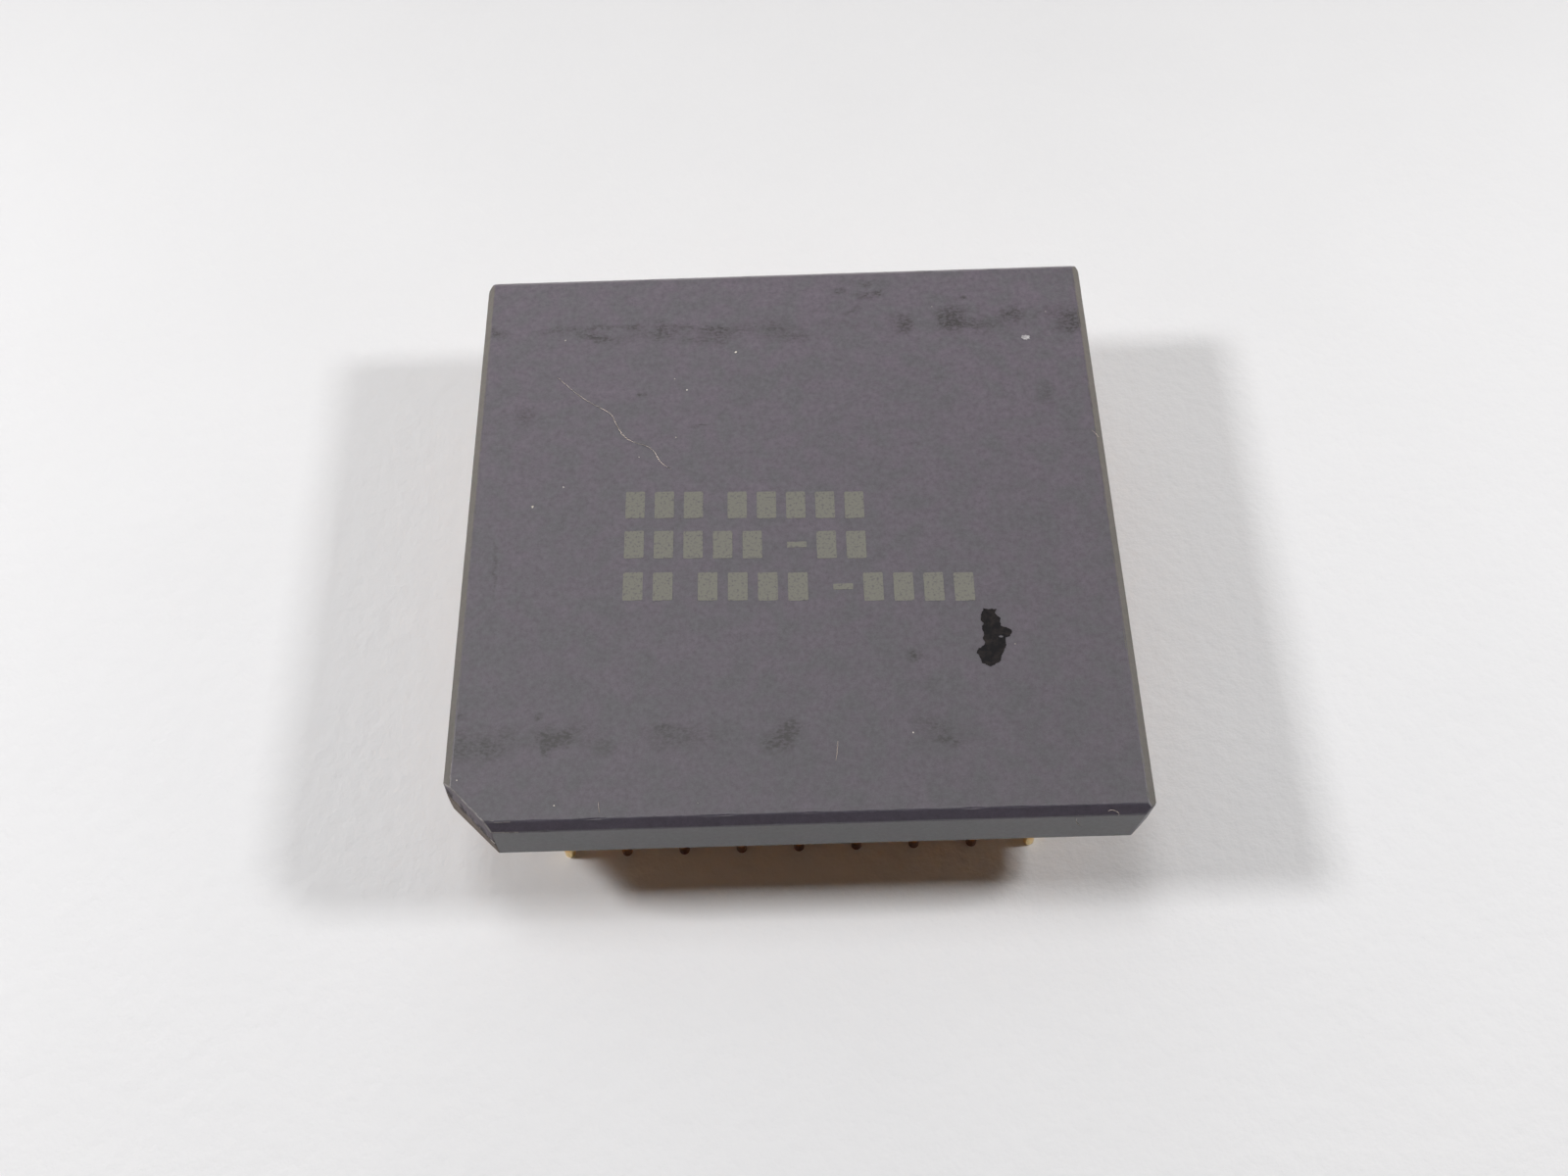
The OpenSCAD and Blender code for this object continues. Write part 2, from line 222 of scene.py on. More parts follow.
def fired_alumina(name, purple, green, smudged=False, **values):
    """Dark alumina, pressed and fired: a satin grey with a faint purple and green mottle and a fine grain, and
    painted light and shade from front to rear.
    """
    made, tree, shader, place = new_material(name, IOR=ALUMINA_IOR, **values)
    # Patches of purple and green grey, 1 mm across, from the pigment
    patches = add(tree, "ShaderNodeTexNoise", {
        "Vector": place, "Scale": fineness(1), "Detail": 5, "Roughness": 0.7,
    }).outputs["Fac"]
    tone = two_tones(tree, patches, (purple, green), (0.35, 0.65), smooth=True)
    # Grain of the fired powder. It is really finer than 0.02 mm, and 0.25 mm lets it show
    grain = add(tree, "ShaderNodeTexNoise", {
        "Vector": place, "Scale": fineness(0.25), "Detail": 4, "Roughness": 0.85,
    }).outputs["Fac"]
    speckle = add(tree, "ShaderNodeMapRange", {
        "Value": grain, "From Min": 0.3, "From Max": 0.7, "To Min": 0.66, "To Max": 1.34,
    }).outputs["Result"]
    # Painted light and shade: the body is painted darker towards its front and paler towards its rear, as the
    # light falls on its top face
    rearwards = add(tree, "ShaderNodeSeparateXYZ", {0: place}).outputs["Y"]
    painted_light_gradient = add(tree, "ShaderNodeMapRange", {
        "Value": rearwards, "From Min": -LIGHT_GRADIENT_REACH * MM, "From Max": LIGHT_GRADIENT_REACH * MM,
        "To Min": 0.69, "To Max": 1.04,
    }).outputs["Result"]
    for shade in (speckle, painted_light_gradient):
        tone = add(tree, "ShaderNodeMix", {
            0: 1.0, MIX_A: tone, MIX_B: shade,
        }, data_type="RGBA", blend_type="MULTIPLY").outputs[MIX_OUT]
    if smudged:
        tone = add(tree, "ShaderNodeMix", {
            0: smudge_mask(tree, place), MIX_A: tone, MIX_B: linear("#272326"),
        }, data_type="RGBA").outputs[MIX_OUT]
    tree.links.new(tone, shader.inputs["Base Color"])
    bump = add(tree, "ShaderNodeBump", {"Height": grain, "Strength": 0.25, "Distance": 0.01 * MM}).outputs[0]
    tree.links.new(bump, shader.inputs["Normal"])
    return made


def pale_ridge_alumina():
    """Alumina of the ridge over the index corner, paler in patches."""
    made, tree, shader, place = new_material("pale_ridge_alumina", IOR=ALUMINA_IOR, Roughness=0.62)
    patches = add(tree, "ShaderNodeTexNoise", {
        "Vector": place, "Scale": fineness(0.45), "Detail": 4, "Roughness": 0.65,
    }).outputs["Fac"]
    tone = two_tones(tree, patches, ("#767170", "#5a5556"), (0.5, 0.62), smooth=True)
    tree.links.new(tone, shader.inputs["Base Color"])
    return made


# The index corner is ground smooth above a line and left as sawn below it: the line's height at the middle, and
# its fall for each unit of x less y. In mm, it is ragged over a range of RAGGED, and the two parts blend over
# LINE_BLEND each way
GROUND_Z = TOP_Z - 1.15 * MM
GROUND_FALL = math.tan(math.radians(12)) / math.sqrt(2)
RAGGED = 1.2
LINE_BLEND = 0.15
# The spacing of the fired layers, in mm
LAYER_PITCH = 0.4
# The corner's dark blotches, in mm: how high their row is over the line, and how far from it they are dark and
# have gone faint
BLOTCH_RISE = 0.1
BLOTCH_REACH = (0.1, 0.5)
# A small chip in the corner, in mm: its place, and how far out it is whole and has ended
CHIP_PLACE = (-12.5, -14.42, 5.9)
CHIP_REACH = (0.11, 0.17)


def index_alumina():
    """Alumina of the index corner: sawn and brownish below, ground and grey above, with dark blotches between."""
    made, tree, shader, place = new_material("index_alumina", IOR=ALUMINA_IOR, Roughness=0.9,
                                             Specular_IOR_Level=0.2)
    # How high each point is, once the line is level and ragged
    uphill = (GROUND_FALL, -GROUND_FALL, 1)
    height = add(tree, "ShaderNodeVectorMath", {
        0: place, 1: uphill,
    }, operation="DOT_PRODUCT").outputs["Value"]
    ragged = add(tree, "ShaderNodeTexNoise", {
        "Vector": place, "Scale": fineness(0.4), "Detail": 4, "Roughness": 0.65,
    }).outputs["Fac"]
    height = add(tree, "ShaderNodeMath", {
        0: ragged, 1: RAGGED * MM, 2: height,
    }, operation="MULTIPLY_ADD").outputs[0]
    line = GROUND_Z + RAGGED / 2 * MM
    ground = add(tree, "ShaderNodeMapRange", {
        "Value": height, "From Min": line - LINE_BLEND * MM, "From Max": line + LINE_BLEND * MM,
    }).outputs["Result"]
    tone = add(tree, "ShaderNodeMix", {
        0: ground, MIX_A: linear("#746c65"), MIX_B: linear("#6b656c"),
    }, data_type="RGBA").outputs[MIX_OUT]
    # Fired layers show as brown lines on the sawn part, at half strength. At a scale of 1, a wave's bands are
    # tau / 20 apart
    layers = add(tree, "ShaderNodeTexWave", {
        "Vector": place, "Scale": fineness(LAYER_PITCH * 20 / math.tau),
        "Distortion": 1.2, "Detail": 2, "Detail Scale": 0.5,
    }, wave_type="BANDS", bands_direction="Z").outputs["Fac"]
    sawn = add(tree, "ShaderNodeMath", {0: 1.0, 1: ground}, operation="SUBTRACT").outputs[0]
    brown = add(tree, "ShaderNodeMath", {0: layers, 1: sawn}, operation="MULTIPLY").outputs[0]
    brown = add(tree, "ShaderNodeMath", {0: brown, 1: 0.5}, operation="MULTIPLY").outputs[0]
    tone = add(tree, "ShaderNodeMix", {
        0: brown, MIX_A: tone, MIX_B: linear("#584636"),
    }, data_type="RGBA").outputs[MIX_OUT]
    # Dark blotches near the line, taller than they are wide
    tall = add(tree, "ShaderNodeMapping", {"Vector": place, "Scale": (1, 1, 0.4)}).outputs[0]
    blotches = add(tree, "ShaderNodeTexNoise", {
        "Vector": tall, "Scale": fineness(0.35), "Detail": 4, "Roughness": 0.65,
    }).outputs["Fac"]
    dark = add(tree, "ShaderNodeMapRange", {
        "Value": blotches, "From Min": 0.42, "From Max": 0.55,
    }, interpolation_type="SMOOTHSTEP").outputs["Result"]
    row = line + BLOTCH_RISE * MM
    over = add(tree, "ShaderNodeMath", {0: height, 1: row}, operation="SUBTRACT").outputs[0]
    distance = add(tree, "ShaderNodeMath", {0: over}, operation="ABSOLUTE").outputs[0]
    near = add(tree, "ShaderNodeMapRange", {
        "Value": distance, "From Min": BLOTCH_REACH[0] * MM, "From Max": BLOTCH_REACH[1] * MM,
        "To Min": 0.9, "To Max": 0.15,
    }).outputs["Result"]
    dark = add(tree, "ShaderNodeMath", {0: dark, 1: near}, operation="MULTIPLY").outputs[0]
    tone = add(tree, "ShaderNodeMix", {
        0: dark, MIX_A: tone, MIX_B: linear("#2a262b"),
    }, data_type="RGBA").outputs[MIX_OUT]
    # The small fresh chip near the front end
    reach = add(tree, "ShaderNodeVectorMath", {
        0: place, 1: [c * MM for c in CHIP_PLACE],
    }, operation="DISTANCE").outputs["Value"]
    chip = add(tree, "ShaderNodeMapRange", {
        "Value": reach, "From Min": CHIP_REACH[1] * MM, "From Max": CHIP_REACH[0] * MM,
    }).outputs["Result"]
    tone = add(tree, "ShaderNodeMix", {
        0: chip, MIX_A: tone, MIX_B: linear("#a09b96"),
    }, data_type="RGBA").outputs[MIX_OUT]
    tree.links.new(tone, shader.inputs["Base Color"])
    grit = add(tree, "ShaderNodeTexNoise", {
        "Vector": place, "Scale": fineness(0.25), "Detail": 6,
    }).outputs["Fac"]
    bump = add(tree, "ShaderNodeBump", {"Height": grit, "Strength": 0.6, "Distance": 0.05 * MM}).outputs[0]
    tree.links.new(bump, shader.inputs["Normal"])
    return made


# The pins' tips are painted dark as painted shade, for the shadow under the package: whole up to the first height
# and gone at the second, in mm. This shade is painted on pins up to the first reach from the package's middle,
# and those past the second, beside the corners, get pale gold tips as a painted highlight
TIP_SHADE_HEIGHT = (0.65, 1.1)
TIP_SHADE_REACH = (15.2, 15.8)


def tipped(tree, place, tone, tip_shade, tip_highlight):
    """This tone of the pins, with their tips painted dark as painted shade, and beside the corners pale gold as a
    painted highlight.
    """
    flat = add(tree, "ShaderNodeMapping", {"Vector": place, "Scale": (1, 1, 0)}).outputs[0]
    reach = add(tree, "ShaderNodeVectorMath", {0: flat}, operation="LENGTH").outputs["Value"]
    tip = two_tones(tree, reach, (tip_shade, tip_highlight), [r * MM for r in TIP_SHADE_REACH])
    height = add(tree, "ShaderNodeSeparateXYZ", {0: place}).outputs["Z"]
    low = add(tree, "ShaderNodeMapRange", {
        "Value": height, "From Min": TIP_SHADE_HEIGHT[1] * MM, "From Max": TIP_SHADE_HEIGHT[0] * MM,
    }).outputs["Result"]
    return add(tree, "ShaderNodeMix", {0: low, MIX_A: tone, MIX_B: tip}, data_type="RGBA").outputs[MIX_OUT]


def plated(name, bright, dull, roughness, size, lines=(1, 1, 1), relief=0.0, tips=()):
    """Gold plate over a dull base metal, tarnished in patches of this size in mm and scratched along lines.

    The scratches' fineness along x, y and z is in lines, relief is their depth in mm, and tips holds the colours
    of the pins' tips: a painted shade, and beside the corners a painted highlight.
    """
    made, tree, shader, place = new_material(name, Metallic=1.0)
    patches = add(tree, "ShaderNodeTexNoise", {
        "Vector": place, "Scale": fineness(size), "Detail": 3,
    }).outputs["Fac"]
    tone = two_tones(tree, patches, (bright, dull), (0.4, 0.68), smooth=True)
    if tips:
        tone = tipped(tree, place, tone, *tips)
    tree.links.new(tone, shader.inputs["Base Color"])
    # Scratches 0.07 mm across
    drawn = add(tree, "ShaderNodeMapping", {"Vector": place, "Scale": lines}).outputs[0]
    scratches = add(tree, "ShaderNodeTexNoise", {
        "Vector": drawn, "Scale": fineness(0.07), "Detail": 2,
    }).outputs["Fac"]
    rough = add(tree, "ShaderNodeMapRange", {
        "Value": scratches, "From Min": 0.3, "From Max": 0.7,
        "To Min": roughness - 0.04, "To Max": roughness + 0.05,
    }).outputs["Result"]
    tree.links.new(rough, shader.inputs["Roughness"])
    if relief:
        bump = add(tree, "ShaderNodeBump", {
            "Height": scratches, "Strength": 0.4, "Distance": relief * MM,
        }).outputs[0]
        tree.links.new(bump, shader.inputs["Normal"])
    return made


def polished_silicon():
    """The die's polished face: a dark blue grey mirror with the faint blocks of its circuits."""
    made, tree, shader, place = new_material("polished_silicon", Metallic=0.3, Roughness=0.16)
    blocks = add(tree, "ShaderNodeTexBrick", {
        "Vector": place, "Scale": fineness(1.4), "Color1": linear("#3b4350"), "Color2": linear("#4a4f5f"),
        "Mortar": linear("#6b6f78"), "Mortar Size": 0.02, "Bias": 0.0, "Brick Width": 0.9, "Row Height": 0.6,
    })
    tree.links.new(blocks.outputs["Color"], shader.inputs["Base Color"])
    return made


def bond_aluminium():
    """Fine aluminium wire: bright, with the drag marks of the bonding tool."""
    made, tree, shader, place = new_material("bond_aluminium", Metallic=1.0, Roughness=0.3)
    drag = add(tree, "ShaderNodeTexNoise", {
        "Vector": place, "Scale": fineness(0.05), "Detail": 2,
    }).outputs["Fac"]
    tone = two_tones(tree, drag, ("#d9d9dc", "#b9babf"))
    tree.links.new(tone, shader.inputs["Base Color"])
    return made


def marking_ink():
    """Pale epoxy ink, printed with a pad: thin and matt, so that the ceramic shows through in pinholes."""
    made, tree, shader, place = new_material("marking_ink", Roughness=0.7)
    pinholes = add(tree, "ShaderNodeTexNoise", {
        "Vector": place, "Scale": fineness(0.12), "Detail": 3, "Roughness": 0.6,
    }).outputs["Fac"]
    tone = two_tones(tree, pinholes, ("#73726a", "#5c585c"), (0.48, 0.72), smooth=True)
    tree.links.new(tone, shader.inputs["Base Color"])
    return made


def spilt_ink():
    """A dried blot of black ink: nearly black and slightly shiny, browner where it is thin."""
    made, tree, shader, place = new_material("spilt_ink", Roughness=0.55, Specular_IOR_Level=0.2)
    dried = add(tree, "ShaderNodeTexNoise", {
        "Vector": place, "Scale": fineness(0.35), "Detail": 5, "Roughness": 0.65,
    }).outputs["Fac"]
    tone = two_tones(tree, dried, ("#0e0c10", "#2a2423"), (0.45, 0.7))
    tree.links.new(tone, shader.inputs["Base Color"])
    bump = add(tree, "ShaderNodeBump", {"Height": dried, "Strength": 0.5, "Distance": 0.03 * MM}).outputs[0]
    tree.links.new(bump, shader.inputs["Normal"])
    return made


def loose_dirt(name, light, dark, size):
    """Lint, dust and paint: pale and matt, and uneven over this size in mm."""
    made, tree, shader, place = new_material(name, Roughness=0.8)
    uneven = add(tree, "ShaderNodeTexNoise", {
        "Vector": place, "Scale": fineness(size), "Detail": 2,
    }).outputs["Fac"]
    tone = two_tones(tree, uneven, (light, dark), (0.35, 0.65))
    tree.links.new(tone, shader.inputs["Base Color"])
    return made


def pale_paper():
    """The surface under the part: pale matt paper with a soft, fine tooth."""
    made, tree, shader, place = new_material("pale_paper", Roughness=0.9)
    clouds = add(tree, "ShaderNodeTexNoise", {
        "Vector": place, "Scale": fineness(12), "Detail": 4, "Roughness": 0.6,
    }).outputs["Fac"]
    tone = two_tones(tree, clouds, ("#e8e8ea", "#e3e3e5"))
    tree.links.new(tone, shader.inputs["Base Color"])
    tooth = add(tree, "ShaderNodeTexNoise", {
        "Vector": place, "Scale": fineness(0.9), "Detail": 5, "Roughness": 0.6,
    }).outputs["Fac"]
    bump = add(tree, "ShaderNodeBump", {"Height": tooth, "Strength": 0.5, "Distance": 0.12 * MM}).outputs[0]
    tree.links.new(bump, shader.inputs["Normal"])
    # Far from the part, the paper shows as the even pale ground behind it
    light_path = add(tree, "ShaderNodeLightPath").outputs
    seen = add(tree, "ShaderNodeMath", {
        0: light_path["Is Camera Ray"], 1: light_path["Is Glossy Ray"],
    }, operation="MAXIMUM").outputs[0]
    reach = add(tree, "ShaderNodeVectorMath", {0: place}, operation="LENGTH").outputs["Value"]
    far = add(tree, "ShaderNodeMapRange", {
        "Value": reach, "From Min": PAPER_REACH[0] * MM, "From Max": PAPER_REACH[1] * MM,
    }, interpolation_type="SMOOTHSTEP").outputs["Result"]
    share = add(tree, "ShaderNodeMath", {0: seen, 1: far}, operation="MULTIPLY").outputs[0]
    ground = add(tree, "ShaderNodeEmission", {"Color": linear(BACKGROUND), "Strength": 1.0}).outputs[0]
    paper = add(tree, "ShaderNodeMixShader", {0: share, 1: shader.outputs[0], 2: ground}).outputs[0]
    # Seen from below, the paper is clear, so that the part's underside shows
    behind = add(tree, "ShaderNodeNewGeometry").outputs["Backfacing"]
    clear = add(tree, "ShaderNodeMath", {
        0: behind, 1: light_path["Is Camera Ray"],
    }, operation="MULTIPLY").outputs[0]
    nothing = add(tree, "ShaderNodeBsdfTransparent").outputs[0]
    both = add(tree, "ShaderNodeMixShader", {0: clear, 1: paper, 2: nothing}).outputs[0]
    tree.links.new(both, tree.nodes["Material Output"].inputs["Surface"])
    return made


def new_piece(name, mesh, slot, *materials):
    """Links a mesh as a piece of the object, with its materials and its body. Its slot is not used."""
    piece = bpy.data.objects.new(name, mesh)
    bpy.context.scene.collection.objects.link(piece)
    for made in materials:
        mesh.materials.append(made)
    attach(piece, "root")
    return piece


# Points of a CAD mesh that are closer than this are one point, and faces that turn by less than this many
# degrees are one face
SAME_POINT = 0.0005 * MM
SAME_PLANE = 0.5


def whole_copy(node):
    """A CAD node's mesh as a bmesh, with its doubles merged and its flat faces made whole."""
    mesh = frame["nodes"][node].data.copy()
    if "custom_normal" in mesh.attributes:
        mesh.attributes.remove(mesh.attributes["custom_normal"])
    work = bmesh.new()
    work.from_mesh(mesh)
    bpy.data.meshes.remove(mesh)
    bmesh.ops.remove_doubles(work, verts=work.verts, dist=SAME_POINT)
    bmesh.ops.dissolve_limit(work, angle_limit=math.radians(SAME_PLANE), verts=work.verts, edges=work.edges)
    return work


def finished_mesh(name, work):
    """The mesh of a bmesh that nothing more is done to."""
    mesh = bpy.data.meshes.new(name)
    work.to_mesh(mesh)
    work.free()
    return mesh


# The ceramic's outer edges: how far out they start, the least turn in degrees that makes an edge, their
# rounding, the spacing of points along them, the depth of their wear, and how high over the bottom it starts
OUTER = SIDE - 3 * MM
EDGE_TURN = 8
EDGE_ROUND = 0.05 * MM
EDGE_STEP = 0.22 * MM
EDGE_WEAR = 0.05 * MM
WEAR_START = 0.2 * MM
# The nicks of the wear: how many long and short ones there are to a mm, how much is taken off the long ones'
# depth, the short ones' share of it, and the deepest nick, where 1 is EDGE_WEAR
LONG_NICKS, SHORT_NICKS = 1.7, 6
NICK_START = 0.1
SHORT_SHARE = 0.25
DEEPEST = 1.2
# A face larger than the first of these is one of the body's flats, and one smaller than the second is part of a
# rounded edge and is shaded smooth
FLAT_AREA = 1 * MM ** 2
ROUND_AREA = 0.05 * MM ** 2


def wear_edges(work):
    """Moves the points of the rounded edges in by a noise. A point on a flat face stays in its plane."""
    for v in work.verts:
        flats = [f.normal for f in v.link_faces if f.calc_area() > FLAT_AREA]
        if len(flats) > 1 or v.co.z < BOTTOM_Z + WEAR_START:
            continue
        if max(abs(v.co.x), abs(v.co.y)) < OUTER:
            continue
        spot = v.co / MM
        nick = max(0, noise.fractal(spot * LONG_NICKS, 0.6, 2, 4) - NICK_START)
        nick += SHORT_SHARE * max(0, noise.noise(spot * SHORT_NICKS))
        move = -v.normal * min(nick, DEEPEST) * EDGE_WEAR
        for n in flats:
            move -= n * move.dot(n)
        v.co += move


# The places of the ceramic's finishes in its list of materials
FACE, FLANK, BEVEL, INDEX, SIDE_BEVEL, RIDGE = range(6)
# Out from the middle to the index corner, how far the cut is in that direction, and the depth of its band
TO_INDEX = Vector((-1, -1, 0)).normalized()
CUT_REACH = (2 * SIDE - INDEX_CUT) / math.sqrt(2)
CUT_BAND = 0.9 * MM
# The least parts of a face's normal: up or down on the level faces, up on the bevels and on the index corner's
# ridge, towards that corner on its cut, and sideways on the side bevels
LEVEL = 0.97
BEVEL_UP = 0.3
RIDGE_UP = 0.2
CUT_OUT = 0.3
SIDEWAYS = 0.5


def finish_of(face):
    """The place of the finish that a face of the dressed ceramic gets, by where it is and how it is turned."""
    n = face.normal
    if face.calc_center_median().dot(TO_INDEX) > CUT_REACH - CUT_BAND and n.dot(TO_INDEX) > CUT_OUT:
        return RIDGE if face.smooth and n.z > RIDGE_UP else INDEX
    if abs(n.z) > LEVEL:
        return FACE
    if n.z > BEVEL_UP:
        return SIDE_BEVEL if abs(n.x) > SIDEWAYS else BEVEL
    return FLANK


def dress_ceramic(*finishes):
    """The ceramic body with its outer edges rounded and worn, and a finish for each kind of surface.

    The finishes are those of the face, flanks, bevels, index corner, side bevels and the corner's ridge.
    """
    work = whole_copy("ceramic_body")
    for v in work.verts:
        x, y, z = v.co
        v.co.x -= math.copysign(SIDE_DROP, x) if abs(x) > OUTER else 0
        v.co.y -= math.copysign(SIDE_DROP, y) if abs(y) > OUTER else 0
        v.co.z -= TOP_DROP if z > TOP_Z - SAME_POINT else 0
    sharp = [
        e for e in work.edges
        if e.calc_face_angle(0) > math.radians(EDGE_TURN)
        and all(max(abs(v.co.x), abs(v.co.y)) > OUTER for v in e.verts)
    ]
    # Each sharp edge is cut into short pieces, so that the wear can move its points one by one
    pieces = []
    for edge in sharp:
        steps = max(1, round(edge.calc_length() / EDGE_STEP))
        start = edge.verts[0]
        for left in range(steps, 1, -1):
            middle, start = bmesh.utils.edge_split(edge, start, 1 / left)
            pieces.append(middle)
        pieces.append(edge)
    bmesh.ops.bevel(work, geom=list(set(pieces)), offset=EDGE_ROUND, segments=3, profile=0.5, affect="EDGES")
    work.normal_update()
    wear_edges(work)
    work.normal_update()
    for f in work.faces:
        f.smooth = f.calc_area() < ROUND_AREA
        f.material_index = finish_of(f)
    piece = new_piece("dressed_ceramic", finished_mesh("dressed_ceramic", work), "alumina", *finishes)
    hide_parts("ceramic_body")


# The print's rows: x and y of the first bar in mm, and b for a bar, d for a dash and a point for a gap of half
# the pitch. The slant is in degrees. The pitch, the sizes, the corners' radius and the thickness are in mm
PRINT_ROWS = [
    (-6.9, 0.95, "bbb.bbbbb"),
    (-6.9, -1.15, "bbbbb.dbb"),
    (-6.9, -3.3, "bb.bbbb.dbbbb"),
]
PRINT_PITCH = 1.31
PRINT_SLANT = -2.0
BAR_SIZE = (0.86, 1.42)
DASH_SIZE = (0.86, 0.3)
BAR_CORNER = 0.06
INK_THICKNESS = 0.008


def print_places():
    """A mesh with one point for each bar of the print, and each bar's size as an attribute."""
    turn = Matrix.Rotation(math.radians(PRINT_SLANT), 3, "Z")
    points, sizes = [], []
    for x, y, row in PRINT_ROWS:
        along = 0
        for kind in row:
            if kind == ".":
                along += PRINT_PITCH / 2
                continue
            start = Vector((x, y, 0)) * MM
            points.append(start + turn @ Vector((along * MM, 0, 0)) + Vector((0, 0, DRESSED_TOP)))
            sizes.append((*(BAR_SIZE if kind == "b" else DASH_SIZE), 1))
            along += PRINT_PITCH
    mesh = bpy.data.meshes.new("print_places")
    mesh.from_pydata(points, [], [])
    attribute = mesh.attributes.new("bar_size", "FLOAT_VECTOR", "POINT")
    attribute.data.foreach_set("vector", [c for size in sizes for c in size])
    return mesh


def nodes_tree(name, sockets):
    """A geometry tree with a geometry in, a geometry out and these named float inputs."""
    tree = bpy.data.node_groups.new(name, "GeometryNodeTree")
    tree.interface.new_socket("Geometry", in_out="INPUT", socket_type="NodeSocketGeometry")
    for socket in sockets:
        tree.interface.new_socket(socket, in_out="INPUT", socket_type="NodeSocketFloat")
    tree.interface.new_socket("Geometry", in_out="OUTPUT", socket_type="NodeSocketGeometry")
    return tree, add(tree, "NodeGroupInput").outputs


def baked(mesh, tree, values):
    """The plain mesh that a geometry tree makes from a mesh, with these values for its inputs."""
    carrier = bpy.data.objects.new(tree.name, mesh)
    bpy.context.scene.collection.objects.link(carrier)
    modifier = carrier.modifiers.new(tree.name, "NODES")
    modifier.node_group = tree
    for item in tree.interface.items_tree:
        if item.in_out == "INPUT" and item.name in values:
            modifier[item.identifier] = values[item.name]
    graph = bpy.context.evaluated_depsgraph_get()
    made = bpy.data.meshes.new_from_object(carrier.evaluated_get(graph))
    carrier.modifiers.remove(modifier)
    bpy.data.objects.remove(carrier)
    return made


def bars_tree(ink):
    """Puts a bar with rounded corners on each point, as large as the point's bar_size says, in mm."""
    tree, given = nodes_tree("printed_bars", ["Corner", "Thickness"])
    outline = add(tree, "GeometryNodeCurvePrimitiveQuadrilateral", {"Width": MM, "Height": MM})
    rounded = add(tree, "GeometryNodeFilletCurve", {
        "Curve": outline.outputs[0], "Count": 3, "Radius": given["Corner"],
    }, mode="POLY")
    filled = add(tree, "GeometryNodeFillCurve", {"Curve": rounded.outputs[0]}, mode="NGONS")
    raised = add(tree, "GeometryNodeExtrudeMesh", {
        "Mesh": filled.outputs[0], "Offset Scale": given["Thickness"], "Individual": False,
    })
    size = add(tree, "GeometryNodeInputNamedAttribute", {"Name": "bar_size"}, data_type="FLOAT_VECTOR")
    placed = add(tree, "GeometryNodeInstanceOnPoints", {
        "Points": given["Geometry"], "Instance": raised.outputs["Mesh"], "Scale": size.outputs["Attribute"],
    })
    real = add(tree, "GeometryNodeRealizeInstances", {0: placed.outputs[0]})
    inked = add(tree, "GeometryNodeSetMaterial", {"Geometry": real.outputs[0], "Material": ink})
    add(tree, "NodeGroupOutput", {0: inked.outputs[0]})
    return tree


def make_print(ink):
    """The marking: rows of plain bars, printed in thin ink."""
    mesh = baked(print_places(), bars_tree(ink), {"Corner": BAR_CORNER * MM, "Thickness": INK_THICKNESS * MM})
    new_piece("printed_bars", mesh, "alumina")


# The blot's outline in mm, from its top left round to the right
BLOT = [
    (8.25, -4.92), (8.46, -4.98), (8.79, -4.96), (8.7, -5.15), (8.79, -5.28), (8.91, -5.42), (8.86, -5.6),
    (8.9, -5.82), (9.1, -5.87), (9.28, -5.97), (9.36, -6.14), (9.23, -6.33), (9.06, -6.37), (9.03, -6.5),
    (9.05, -6.75), (8.95, -6.98), (8.82, -7.23), (8.75, -7.46), (8.6, -7.6), (8.42, -7.7), (8.28, -7.75),
    (8.12, -7.66), (7.97, -7.55), (7.94, -7.38), (7.85, -7.22), (7.79, -7.04), (7.86, -6.87), (8.05, -6.78),
    (8.19, -6.6), (8.12, -6.37), (8.16, -6.15), (8.1, -5.98), (8.12, -5.8), (8.19, -5.67), (8.1, -5.5),
    (8.09, -5.28), (8.17, -5.12),
]
# The bare spot in the blot: its middle and half its length and width in mm, and the number of its points
BLOT_HOLE = (8.87, -6.32, 0.1, 0.06)
HOLE_POINTS = 12
# The blot's thickness, the spacing of the points along its edge and how far they are moved, in mm
BLOT_THICKNESS = 0.015
BLOT_STEP, BLOT_SHIFT = 0.035, 0.045
# The noise that moves an outline's points has this many waves to a mm, this many octaves and this seed
OUTLINE_WAVES = 8
OUTLINE_OCTAVES = 3
OUTLINE_SEED = 1


def bumpy(points, step, reach):
    """A closed outline with points added between its corners and moved by a noise of this reach."""
    # Without a seed, this noise changes from run to run
    noise.seed_set(OUTLINE_SEED)
    made = []
    for a, b in zip(points, points[1:] + points[:1]):
        a, b = Vector(a), Vector(b)
        count = max(1, round((b - a).length / step))
        for i in range(count):
            spot = a.lerp(b, i / count)
            shift = noise.turbulence_vector(Vector((spot.x, spot.y, 0)) * OUTLINE_WAVES, OUTLINE_OCTAVES, False)
            made.append(spot + Vector(shift[:2]) * reach)
    return made


def on_face(work, outline):
    """The points of an outline in mm, made in a bmesh on the top face."""
    return [work.verts.new((p.x * MM, p.y * MM, DRESSED_TOP)) for p in outline]


def raised_mesh(name, work, faces, thickness):
    """The mesh of a bmesh, once these faces of it are raised by a thickness in mm and walled in."""
    raised = bmesh.ops.extrude_face_region(work, geom=faces)
    tops = [v for v in raised["geom"] if isinstance(v, bmesh.types.BMVert)]
    bmesh.ops.translate(work, verts=tops, vec=(0, 0, thickness * MM))
    bmesh.ops.recalc_face_normals(work, faces=work.faces)
    return finished_mesh(name, work)


